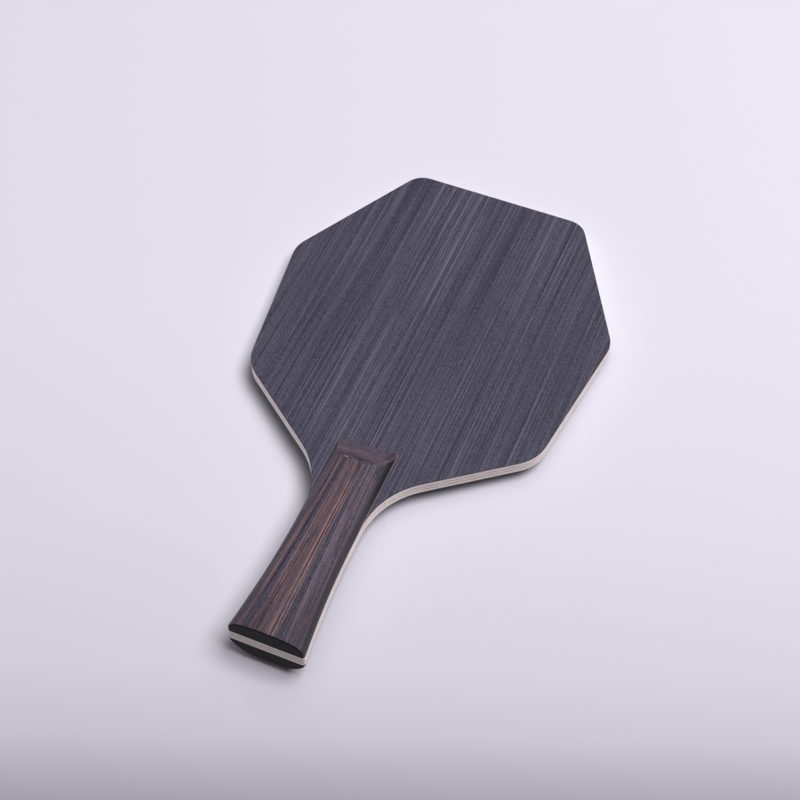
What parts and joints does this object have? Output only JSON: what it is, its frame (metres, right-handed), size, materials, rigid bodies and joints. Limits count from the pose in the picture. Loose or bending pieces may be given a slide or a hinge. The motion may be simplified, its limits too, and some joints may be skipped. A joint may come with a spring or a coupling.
{
  "type": "table tennis blade",
  "caption": "Bare laminated wooden table tennis blade with an angular head, a rounded neck and a flared, bevelled handle on both faces.",
  "frame": {"origin": "middle of the flat butt end, halfway through the blade's thickness", "axes": "+Y from the butt end to the far edge of the head, +Z out of the front face, +X across the blade"},
  "size_m": [0.1512, 0.2534, 0.023],
  "materials": {
    "face_veneer": "dark stained veneer with a fine straight grain, sanded matt",
    "medial_ply": "pale raw wood, sanded edge",
    "fibre_layer": "thin woven fibre cloth set in glue",
    "core_ply": "pale open-pored raw wood, sanded edge",
    "handle_scale": "dark striped hardwood with reddish streaks, satin"
  },
  "bodies": {
    "root": {"front_face_veneer": "face_veneer", "front_medial_ply": "medial_ply", "front_fibre_layer": "fibre_layer", "core_ply": "core_ply", "back_fibre_layer": "fibre_layer", "back_medial_ply": "medial_ply", "back_face_veneer": "face_veneer", "front_handle_scale": "handle_scale", "back_handle_scale": "handle_scale"}
  },
  "joints": []
}
